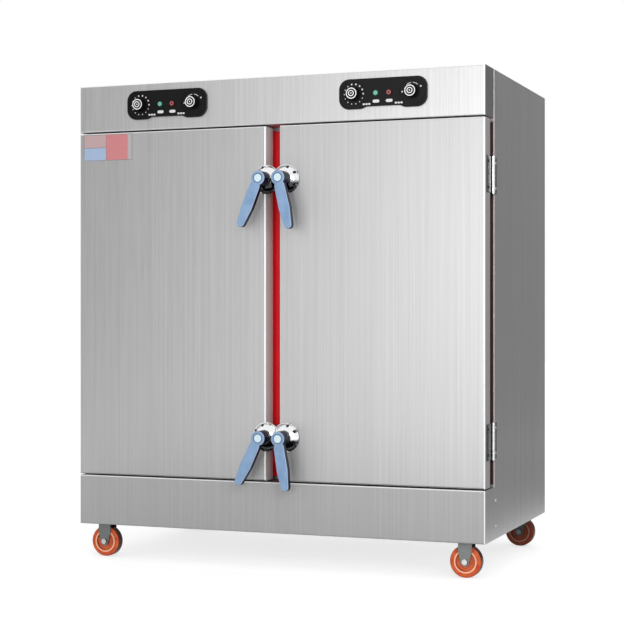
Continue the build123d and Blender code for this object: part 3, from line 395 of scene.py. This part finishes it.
def handle_plastic(name, axis):
    """A light blue face with a painted highlight on its rounded edge, dark navy sides, and a pale round cap
    in the head, ringed by painted shade.
    """
    made, tree, main = shader(name)
    main.inputs["IOR"].default_value = 1.18
    parts = place_in(tree)
    reach = axis_distance(tree, parts, axis)
    # A painted highlight along the face's rounded edge
    edge = between(tree, parts["Y"], 0.0, EDGE_HIGHLIGHT_SHARE, [HANDLE_FACE + depth for depth in HANDLE_HIGHLIGHT_BAND])
    face = fall(tree, parts["Y"], [HANDLE_FACE + depth for depth in HANDLE_SIDE])
    ahead = calc(tree, "LESS_THAN", parts["Y"], HANDLE_FACE + CAP_DEPTH)
    cap = product(tree, calc(tree, "LESS_THAN", reach, CAP_RADIUS), ahead)
    # Rings of painted shade just inside and just outside the cap's edge
    cap_rim_shade = product(tree, cap, calc(tree, "GREATER_THAN", reach, CAP_RADIUS - CAP_SHADE_WIDTH))
    groove_shade = product(tree, calc(tree, "LESS_THAN", reach, CAP_RADIUS + CAP_SHADE_WIDTH), ahead)
    cloud = object_noise(tree, (35.0, 35.0, 22.0))
    light = mottled(tree, cloud, (0.205, 0.325, 0.510), (0.275, 0.405, 0.600))
    light = mixed(tree, edge, light, (0.58, 0.62, 0.80))
    body = mixed(tree, face, (0.003, 0.008, 0.026), light)
    body = mixed(tree, groove_shade, body, (0.100, 0.190, 0.300))
    body = mixed(tree, cap, body, (0.64, 0.79, 0.85))
    feed(tree, main, Base_Color=mixed(tree, cap_rim_shade, body, (0.070, 0.130, 0.200)),
         Roughness=between(tree, object_noise(tree, 500.0, 2.0), 0.26, 0.38))
    bump(tree, main, object_noise(tree, 700.0, 2.0), 0.05)
    return made


def wheel_plastic(name, axis, shade_factor):
    """A red-orange face, painted shade on the running surface, and painted highlights on the raised rings;
    the factor darkens all of it as painted shade on the rear wheels.
    """
    made, tree, main = shader(name)
    main.inputs["IOR"].default_value = 1.25
    reach = axis_distance(tree, place_in(tree), axis)
    tread_shade = fall(tree, facing(tree)["Y"], TREAD_SHADE_BAND)
    cloud = object_noise(tree, 60.0)
    body = mottled(tree, cloud, scaled((0.50, 0.062, 0.022), shade_factor), scaled((0.72, 0.150, 0.052), shade_factor))
    # Painted highlights on the raised rings
    for inner, outer, tone in WHEEL_RING_HIGHLIGHTS:
        ring = product(tree, calc(tree, "GREATER_THAN", reach, inner), calc(tree, "LESS_THAN", reach, outer))
        body = mixed(tree, ring, body, scaled(tone, shade_factor))
    # Painted shade on the running surface
    feed(tree, main, Base_Color=mixed(tree, tread_shade, body, (0.045, 0.005, 0.004)),
         Roughness=between(tree, cloud, 0.28, 0.42))
    bump(tree, main, object_noise(tree, 400.0, 2.0), 0.08, 0.0004)
    return made


def lamp_lens(name):
    """A green lens on the left and a red one on the right of each bezel's middle, in dark collars."""
    made, tree, main = shader(name)
    main.inputs["Specular IOR Level"].default_value = 0.25
    parts = place_in(tree)
    folded = calc(tree, "SUBTRACT", off_middle(tree, parts), BEZEL_X)
    right = product(tree, folded, calc(tree, "SIGN", parts["X"]))
    across = calc(tree, "SUBTRACT", calc(tree, "ABSOLUTE", folded), LAMP_X)
    reach = distance(tree, across, calc(tree, "SUBTRACT", parts["Z"], BEZEL_Z))
    collar = rise(tree, reach, LAMP_COLLAR)
    core = fall(tree, reach, LAMP_CORE)
    green = mixed(tree, collar, (0.170, 0.470, 0.340), (0.004, 0.045, 0.028))
    ruby = mixed(tree, core, (0.380, 0.130, 0.130), (0.120, 0.012, 0.018))
    ruby = mixed(tree, collar, ruby, (0.040, 0.002, 0.006))
    feed(tree, main, Base_Color=mixed(tree, calc(tree, "GREATER_THAN", right, 0.0), green, ruby),
         Roughness=between(tree, object_noise(tree, 700.0, 2.0), 0.12, 0.22))
    return made


def silicone(name):
    """Red silicone, bright on its front, with painted shade on the sides that face out of the cabinet."""
    made, tree, main = shader(name)
    main.inputs["Specular IOR Level"].default_value = 0.25
    cloud = object_noise(tree, (25.0, 25.0, 9.0))
    red = mottled(tree, cloud, (0.86, 0.022, 0.034), (0.97, 0.034, 0.048))
    # Painted shade on the seal's outer sides
    outer = calc(tree, "GREATER_THAN", off_middle(tree, place_in(tree)), SEAL_OUTER)
    shaded_side = product(tree, outer, rise(tree, facing(tree)["X"], SIDE_BAND))
    feed(tree, main, Base_Color=mixed(tree, shaded_side, red, (0.030, 0.003, 0.003)),
         Roughness=between(tree, cloud, 0.42, 0.55))
    bump(tree, main, object_noise(tree, 600.0, 2.0), 0.06)
    return made


def foam(name):
    """Pale foam with open cells."""
    made, tree, main = shader(name)
    cells = add(tree, "ShaderNodeTexVoronoi")
    place = add(tree, "ShaderNodeTexCoord")
    feed(tree, cells, Vector=place.outputs["Object"], Scale=FOAM_SCALE)
    cell = cells.outputs["Distance"]
    colour = mixed(tree, rise(tree, cell, FOAM_CELL), (0.80, 0.72, 0.50), (0.66, 0.57, 0.37))
    feed(tree, main, Base_Color=colour, Roughness=0.9)
    bump(tree, main, cell, 0.4, 0.001)
    return made


def print_or_shade(name, colour, rough=0.5):
    """Print, a thin sheet on a panel, or a strip of painted shade."""
    made, tree, main = shader(name)
    cloud = object_noise(tree, 140.0, 2.0)
    feed(tree, main, Base_Color=mottled(tree, cloud, scaled(colour, 0.94), colour),
         Roughness=between(tree, cloud, rough - 0.05, rough + 0.05))
    return made


STEEL = (0.52, 0.52, 0.525)
# Painted shade for the folds that face up or down, in the reveals of the doors and the base
REVEAL_SHADE = (0.10, 0.10, 0.10)
# Each pair of tones given below is painted shade: on the folds that face to the side, then on those that
# face up or down
front_steel = steel("front_steel", (0.62, 0.62, 0.625), "z", 0.44, return_shades=((0.13, 0.13, 0.13), STEEL))
base_steel = steel("base_steel", (0.40, 0.40, 0.405), "z", 0.44, matt=0.80,
                   return_shades=((0.18, 0.18, 0.18), REVEAL_SHADE))
door_steel = steel("door_steel", STEEL, "z", 0.48, return_shades=((0.33, 0.335, 0.335), REVEAL_SHADE))
side_steel = steel("side_steel", (0.65, 0.65, 0.655), "z", streak=0.22)
roof_steel = steel("roof_steel", STEEL, "x")
inner_steel = steel("inner_steel", (0.66, 0.66, 0.665), "z", 0.38)
bare_metal = sheet_metal("bare_metal", (0.60, 0.60, 0.60), 0.36)
dark_metal = sheet_metal("dark_metal", (0.07, 0.07, 0.072), 0.26)
# A lighter tone than the side panels: a painted highlight on their turned front edges
edge_metal = sheet_metal("edge_metal", (0.86, 0.84, 0.84), 0.30)
frame_hinge = hinge_steel("frame_hinge", (0.26, 0.26, 0.265))
# The door's leaves take a darker tone than the frame's: a painted dark reflection
door_hinge = hinge_steel("door_hinge", (0.07, 0.07, 0.072))
polished = mirror_metal("polished")
fork_metal = fork_steel("fork_metal")
black_gloss = plastic("black_gloss", (0.009, 0.009, 0.009), 0.32, gloss=0.15)
black_matt = plastic("black_matt", (0.004, 0.004, 0.004), 0.42, gloss=0.10)
pale_plastic = plastic("pale_plastic", (0.60, 0.60, 0.58), 0.45)
lens = lamp_lens("lens")
red_silicone = silicone("red_silicone")
foam_block = foam("foam_block")
# The next two are painted shade and painted shadow, not print
seal_shade = print_or_shade("seal_shade", (0.040, 0.007, 0.006))
gap_shadow = print_or_shade("gap_shadow", (0.030, 0.030, 0.030))
white_print = print_or_shade("white_print", (0.72, 0.72, 0.72))
# White print for the knob pointers, and painted highlights for the rings at the knobs' edges
ring_print = print_or_shade("ring_print", (0.92, 0.92, 0.92))
sheet_edge = print_or_shade("sheet_edge", (0.22, 0.22, 0.22))
sheet_pink = print_or_shade("sheet_pink", (0.52, 0.36, 0.37))
sheet_blue = print_or_shade("sheet_blue", (0.36, 0.47, 0.66))
sheet_red = print_or_shade("sheet_red", (0.60, 0.22, 0.23))
sheet_grey = print_or_shade("sheet_grey", (0.46, 0.42, 0.42))


def dress(material, *names):
    """Gives CAD nodes their material."""
    for name in names:
        data = nodes[name].data
        data.materials.clear()
        data.materials.append(material)


dress(front_steel, "header_casing")
dress(base_steel, "base_front_panel")
dress(door_steel, "left_door_shell", "right_door_shell")
dress(side_steel, "left_side_panel", "right_side_panel", "back_panel")
dress(roof_steel, "top_panel")
dress(inner_steel, "front_frame", "left_chamber_liner", "right_chamber_liner", "left_door_inner_pan",
      "right_door_inner_pan", "tray_racks", "steam_grates", "water_tanks", "base_frame")
dress(bare_metal, "heating_elements", "drain_manifold", "drain_lever", "float_box", "water_inlet",
      "steam_vents", "cabinet_screws", "latch_keepers", "electrical_box")
dress(frame_hinge, "hinge_frame_leaves")
dress(polished, "left_latch_rosettes", "right_latch_rosettes", "hinge_pins")
dress(fork_metal, "caster_forks")
dress(red_silicone, "front_seal")
dress(foam_block, "body_insulation", "left_door_insulation", "right_door_insulation")
dress(black_gloss, "control_bezels")
dress(black_matt, "cable_gland")
dress(pale_plastic, "control_units", "float_arm")
dress(lens, "indicator_lamps")
for side in SIDES:
    dress(door_hinge, f"{side}_door_hinge_leaves")
    dress(dark_metal, f"{side}_door_screws")
    dress(black_matt, f"{side}_timer_knob", f"{side}_thermostat_knob")
    for level in LEVELS:
        axis = axes[f"{level}_{side}_latch_pivot"]
        dress(bare_metal, f"{level}_{side}_latch_bolt")
        dress(handle_plastic(f"handle_{level}_{side}", axis), f"{level}_{side}_handle")
    for end in ENDS:
        axis = axes[f"{end}_{side}_wheel_spin"]
        dress(wheel_plastic(f"wheel_{end}_{side}", axis, WHEEL_SHADE[end]), f"{end}_{side}_wheel")


# Details


def keep(mesh, name, material, body):
    """Finishes a bmesh as a named piece that rides on a body."""
    data = bpy.data.meshes.new(name)
    mesh.to_mesh(data)
    mesh.free()
    data.materials.append(material)
    piece = bpy.data.objects.new(name, data)
    bpy.context.scene.collection.objects.link(piece)
    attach(piece, body)


def prism(mesh, near, far):
    """A closed solid between two alike outlines."""
    near, far = [[mesh.verts.new(point) for point in outline] for outline in (near, far)]
    mesh.faces.new(near)
    mesh.faces.new(list(reversed(far)))
    for index in range(len(near)):
        after = (index + 1) % len(near)
        mesh.faces.new((near[index], far[index], far[after], near[after]))


def flat_ring(mesh, x, y, z, inner, outer, thick, start=0.0, end=360.0, steps=48):
    """A ring or an arc that faces the front, with its face at y and its back behind it."""
    whole = end - start >= 360.0
    count = max(3, round(steps * (end - start) / 360.0))
    places = count if whole else count + 1
    rows = []
    for step in range(places):
        angle = math.radians(start + (end - start) * step / count)
        c, s = math.cos(angle), math.sin(angle)
        rows.append([mesh.verts.new((x + r * c, d, z + r * s))
                     for r, d in ((inner, y + thick), (inner, y), (outer, y), (outer, y + thick))])
    for step in range(count):
        near, far = rows[step], rows[(step + 1) % places]
        for corner in range(4):
            other = (corner + 1) % 4
            mesh.faces.new((near[corner], near[other], far[other], far[corner]))
    if not whole:
        mesh.faces.new(rows[0])
        mesh.faces.new(list(reversed(rows[-1])))


def pill(mesh, x, y, z, size, thick, steps=8):
    """A plate with round ends that faces the front."""
    width, height = size
    radius = height / 2
    half = width / 2 - radius
    outline = []
    for centre, first in ((half, -90.0), (-half, 90.0)):
        for step in range(steps + 1):
            angle = math.radians(first + 180.0 * step / steps)
            outline.append((x + centre + radius * math.cos(angle), z + radius * math.sin(angle)))
    prism(mesh, [(a, y, b) for a, b in outline], [(a, y + thick, b) for a, b in outline])


# Print on the bezels: how far it stands out, and the places and sizes of its marks
PRINT_PROUD = 0.0002
PRINT_THICK = 0.0003
DOT_STEPS = 12
TIMER_MARKS = 14
BOLD_MARKS = 5
BOLD_MARK_RADIUS = 0.0026
THIN_MARK_RADIUS = 0.0018
TIMER_MARK_REACH = 0.031
HEAT_ARC = (0.0262, 0.0280)
HEAT_ARC_ENDS = ((48.0, 84.0), (96.0, 130.0))
HEAT_DOT_RADIUS = 0.0028
HEAT_DOT_REACH = 0.0315
HEAT_DOT_TURNS = (28.0, 180.0)
LAMP_LABEL = (0.022, 0.0095)
LAMP_LABEL_DROP = 0.025
DIAL_LABEL = (0.0078, 0.0056)
DIAL_LABEL_DROP = 0.033
DIAL_LABEL_X = 0.0525
DIAL_LABEL_STEP = 0.009


def dial_print(side, sign):
    """The white marks round both dials of one bezel, and the blank labels under the lamps."""
    mesh = bmesh.new()
    middle = sign * BEZEL_X
    face = BEZEL_FACE - PRINT_PROUD
    floor = DIAL_FLOOR - PRINT_PROUD
    dots = [(middle - DIAL_X, TIMER_MARK_REACH, step * 360.0 / TIMER_MARKS,
             BOLD_MARK_RADIUS if step < BOLD_MARKS else THIN_MARK_RADIUS) for step in range(TIMER_MARKS)]
    dots += [(middle + DIAL_X, HEAT_DOT_REACH, turn, HEAT_DOT_RADIUS) for turn in HEAT_DOT_TURNS]
    for x, reach, turn, radius in dots:
        angle = math.radians(turn)
        flat_ring(mesh, x + reach * math.cos(angle), floor, BEZEL_Z + reach * math.sin(angle), 0.0, radius,
                  PRINT_THICK, steps=DOT_STEPS)
    for start, end in HEAT_ARC_ENDS:
        flat_ring(mesh, middle + DIAL_X, floor, BEZEL_Z, *HEAT_ARC, PRINT_THICK, start, end)
    for lamp in (-LAMP_X, LAMP_X):
        pill(mesh, middle + lamp, face, BEZEL_Z - LAMP_LABEL_DROP, LAMP_LABEL, PRINT_THICK)
    for label in (-DIAL_LABEL_X, DIAL_LABEL_X):
        for step in (-DIAL_LABEL_STEP, 0.0, DIAL_LABEL_STEP):
            pill(mesh, middle + label + step, face, BEZEL_Z - DIAL_LABEL_DROP, DIAL_LABEL, PRINT_THICK)
    keep(mesh, f"{side}_dial_print", white_print, "cabinet")


# Moulded ridges on the bezels
RIDGE_RADII = (0.0415, 0.0432, 0.0449)
RIDGE_WIDTH = 0.0008
RIDGE_PROUD = 0.0006
RIDGE_THICK = 0.0007
RIDGE_END = 65.0
RIDGE_STEPS = 96


def dial_ridges(side, sign):
    """The moulded rings round the right-hand dial of one bezel."""
    mesh = bmesh.new()
    x, y = sign * BEZEL_X + DIAL_X, BEZEL_FACE - RIDGE_PROUD
    for radius in RIDGE_RADII:
        flat_ring(mesh, x, y, BEZEL_Z, radius, radius + RIDGE_WIDTH, RIDGE_THICK, -RIDGE_END, RIDGE_END,
                  steps=RIDGE_STEPS)
    keep(mesh, f"{side}_dial_ridges", black_gloss, "cabinet")


# Knobs: the outline of a rib across the knob, its ends, and the white rings on the knob's faces, which are
# painted highlights at the edges of its face and boss
RIB_COUNT = 30
RIB_OUTLINE = ((-0.0010, 0.0170), (0.0010, 0.0170), (0.0007, 0.0187), (-0.0007, 0.0187))
RIB_ENDS = (KNOB_FACE + 0.0008, KNOB_BACK - 0.0058)
KNOB_EDGE_HIGHLIGHT = (0.0142, 0.0172)
BOSS_EDGE_HIGHLIGHT = (0.0068, 0.0095)
POINTER = (0.0045, 0.0043)
RING_PROUD = 0.0003
RING_THICK = 0.0005


def knob_dress(side, sign, kind, way):
    """The grip ribs of a knob, white rings that are painted highlights at the edges of its face and boss,
    and its printed pointer.
    """
    x = sign * BEZEL_X + way * DIAL_X
    ribs = bmesh.new()
    for step in range(RIB_COUNT):
        angle = 2 * math.pi * step / RIB_COUNT
        turn = Matrix.Translation((x, 0.0, BEZEL_Z)) @ Matrix.Rotation(angle, 4, "Y")
        prism(ribs, *[[turn @ Vector((a, y, b)) for a, b in RIB_OUTLINE] for y in RIB_ENDS])
    keep(ribs, f"{side}_{kind}_ribs", black_matt, f"{side}_{kind}")
    rings = bmesh.new()
    flat_ring(rings, x, KNOB_FACE - RING_PROUD, BEZEL_Z, *KNOB_EDGE_HIGHLIGHT, RING_THICK)
    flat_ring(rings, x, KNOB_BOSS - RING_PROUD, BEZEL_Z, *BOSS_EDGE_HIGHLIGHT, RING_THICK)
    pill(rings, x, KNOB_BOSS - RING_PROUD, BEZEL_Z, POINTER, RING_THICK)
    keep(rings, f"{side}_{kind}_rings", ring_print, f"{side}_{kind}")


# Strips along the front of the side panels: the turned edge with a painted highlight, a strip of painted
# shadow and the seal's lip in painted shade
EDGE_Y = -0.294
EDGE_WIDTH = 0.007
EDGE_PROUD = 0.0022
GAP_WIDTH = 0.008
GAP_PROUD = 0.0003
GAP_EASE = 0.0001
LIP_INSET = 0.0004
LIP_DEPTH = 0.003
LIP_EASE = 0.0005


def slab(name, x_ends, y_ends, z_ends, ease, material):
    """A thin strip on the cabinet whose outer long edges are eased. Its first x is the inner one."""
    mesh = bmesh.new()
    (inner, outer), (y0, y1) = x_ends, y_ends
    eased = outer - math.copysign(ease, outer)
    outline = ((inner, y0), (eased, y0), (outer, y0 + ease), (outer, y1 - ease), (eased, y1), (inner, y1))
    prism(mesh, *[[(x, y, z) for x, y in outline] for z in z_ends])
    bmesh.ops.recalc_face_normals(mesh, faces=mesh.faces)
    keep(mesh, name, material, "cabinet")


def side_edges(side, sign):
    """The turned front edge of a side panel in a lighter tone as a painted highlight, a strip of painted
    shadow in front of it and the seal's outer lip in painted shade.
    """
    slab(f"{side}_panel_edge", (sign * SIDE_FACE, sign * (SIDE_FACE + EDGE_PROUD)),
         (EDGE_Y, EDGE_Y + EDGE_WIDTH), (BASE_TOP, HEADER_TOP), EDGE_PROUD / 3, edge_metal)
    slab(f"{side}_panel_gap", (sign * SIDE_FACE, sign * (SIDE_FACE + GAP_PROUD)),
         (EDGE_Y - GAP_WIDTH, EDGE_Y), (HEADER_LOW, HEADER_TOP), GAP_EASE, gap_shadow)
    slab(f"{side}_seal_lip", (sign * SEAL_SIDE, sign * (SIDE_FACE - LIP_INSET)),
         (FRAME_FRONT - LIP_DEPTH, FRAME_FRONT), (SEAL_LOW, SEAL_TOP), LIP_EASE, seal_shade)


# The plain sheet on the left door, whose fields lie in a thin edge
SHEET_LEFT = -0.679
SHEET_SPLIT = -0.597
SHEET_BORDER = -0.516
SHEET_RIGHT = -0.500
SHEET_TOP = DOOR_TOP - 0.004
SHEET_HEIGHT = 0.086
SHEET_INSET = 0.0015
SHEET_LIFT = 0.0003
FIELD_LIFT = 0.0005


def blank_sheet():
    """The plain sheet at the top of the left door: pale fields with nothing on them."""
    low, middle = SHEET_TOP - SHEET_HEIGHT, SHEET_TOP - SHEET_HEIGHT / 2
    x0, x1 = SHEET_LEFT + SHEET_INSET, SHEET_RIGHT - SHEET_INSET
    z0, z1 = low + SHEET_INSET, SHEET_TOP - SHEET_INSET
    for name, left, right, bottom, top, lift, material in (
        ("plain_sheet_edge", SHEET_LEFT, SHEET_RIGHT, low, SHEET_TOP, SHEET_LIFT, sheet_edge),
        ("plain_sheet_pink", x0, SHEET_SPLIT, middle, z1, FIELD_LIFT, sheet_pink),
        ("plain_sheet_blue", x0, SHEET_SPLIT, z0, middle - SHEET_INSET, FIELD_LIFT, sheet_blue),
        ("plain_sheet_red", SHEET_SPLIT + SHEET_INSET, SHEET_BORDER, z0, z1, FIELD_LIFT, sheet_red),
        ("plain_sheet_grey", SHEET_BORDER, x1, z0, z1, FIELD_LIFT, sheet_grey),
    ):
        mesh = bmesh.new()
        corners = ((left, bottom), (right, bottom), (right, top), (left, top))
        prism(mesh, *[[(x, y, z) for x, z in corners] for y in (DOOR_FACE - lift, DOOR_FACE)])
        keep(mesh, name, material, "left_door")


for side, sign in SIDES.items():
    dial_print(side, sign)
    dial_ridges(side, sign)
    knob_dress(side, sign, "timer", -1)
    knob_dress(side, sign, "thermostat", 1)
    side_edges(side, sign)
blank_sheet()


# Stage and light


WHITE = (1.0, 1.0, 1.0, 1.0)
FLOOR_TONE = 0.55
FLOOR_SIZE = (40.0, 40.0)
FLOOR_GLOW = 0.60
WORLD_LIGHT = 0.75

# Flags: name, size, place, turn in degrees and tone
FLAGS = (
    ("floor_flag", (1.8, 0.6), (0.0, -0.78, 0.004), (0.0, 0.0, 0.0), 0.025),
    ("left_flag", (3.8, 4.4), (-3.6, -4.4, 2.2), (90.0, 0.0, 20.0), 0.12),
    ("side_flag", (4.6, 4.0), (3.3, 3.4, 2.0), (90.0, 0.0, -20.0), 0.30),
    ("side_floor_flag", (3.4, 4.2), (2.6, 1.6, 0.004), (0.0, 0.0, 0.0), 0.30),
)

# Lamps: name, place, aim, size and power in watts
LAMPS = (
    ("key", (2.6, -4.4, 2.2), (0.0, 0.0, 0.8), (1.6, 1.6), 58.0),
    ("fill", (0.7, -5.4, 1.3), (0.0, 0.0, 0.8), (1.2, 1.2), 45.0),
    ("edge", (4.4, -3.7, 1.5), (0.7, -0.3, 0.8), (0.5, 2.6), 26.0),
)


def stage_plane(name, size, place, turn, material):
    """A plane of the stage, which isn't part of the cabinet."""
    bpy.ops.mesh.primitive_plane_add(size=1.0, location=place, rotation=[math.radians(a) for a in turn])
    plane = bpy.context.object
    plane.name = name
    plane.scale = (*size, 1.0)
    plane.data.materials.append(material)
    return plane


def seen_directly(tree):
    """Whether a ray comes from the camera, or from it by way of a mirror or a lens."""
    path = add(tree, "ShaderNodeLightPath")
    seen = calc(tree, "MAXIMUM", path.outputs["Is Camera Ray"], path.outputs["Is Glossy Ray"])
    return calc(tree, "MAXIMUM", seen, path.outputs["Is Transmission Ray"])


def floor_material():
    """A pale floor that reaches white where no shadow falls."""
    made, tree, main = shader("floor")
    feed(tree, main, Base_Color=(FLOOR_TONE, FLOOR_TONE, FLOOR_TONE, 1.0), Roughness=0.9,
         Emission_Color=WHITE, Emission_Strength=product(tree, seen_directly(tree), FLOOR_GLOW))
    return made


def flag_material(name, tone):
    """The dull cloth of a studio flag."""
    made, tree, main = shader(name)
    weave = object_noise(tree, 300.0, 2.0)
    cloth = (tone, tone, tone)
    feed(tree, main, Base_Color=mottled(tree, weave, scaled(cloth, 0.8), cloth), Roughness=0.95)
    return made


def lamp(name, place, aim, size, power):
    """A rectangular lamp that the camera doesn't see."""
    data = bpy.data.lights.new(name, "AREA")
    data.shape = "RECTANGLE"
    data.size, data.size_y = size
    data.energy = power
    item = bpy.data.objects.new(name, data)
    item.location = place
    item.rotation_euler = (Vector(aim) - Vector(place)).to_track_quat("-Z", "Y").to_euler()
    item.visible_camera = False
    bpy.context.scene.collection.objects.link(item)


def world():
    """Plain light from all round, white where the camera sees it."""
    made = bpy.data.worlds.new("studio")
    made.use_nodes = True
    tree = made.node_tree
    feed(tree, tree.nodes["Background"], Color=WHITE,
         Strength=between(tree, seen_directly(tree), WORLD_LIGHT, 1.0, (0.0, 1.0)))
    bpy.context.scene.world = made


def camera():
    """The photograph's view."""
    data = bpy.data.cameras.new("camera")
    data.sensor_width = 36.0
    data.lens = CAMERA_LENS
    data.shift_x, data.shift_y = CAMERA_SHIFT
    item = bpy.data.objects.new("camera", data)
    item.location = CAMERA_PLACE
    item.rotation_euler = Euler((math.radians(90.0), 0.0, math.radians(CAMERA_YAW)))
    bpy.context.scene.collection.objects.link(item)
    bpy.context.scene.camera = item


world()
stage_plane("floor", FLOOR_SIZE, (0.0, 0.0, 0.0), (0.0, 0.0, 0.0), floor_material())
for name, size, place, turn, tone in FLAGS:
    flag = stage_plane(name, size, place, turn, flag_material(f"{name}_cloth", tone))
    flag.visible_camera = False
    flag.visible_shadow = False
    flag.visible_diffuse = False
for settings in LAMPS:
    lamp(*settings)
camera()
bpy.context.scene.view_settings.view_transform = "Standard"
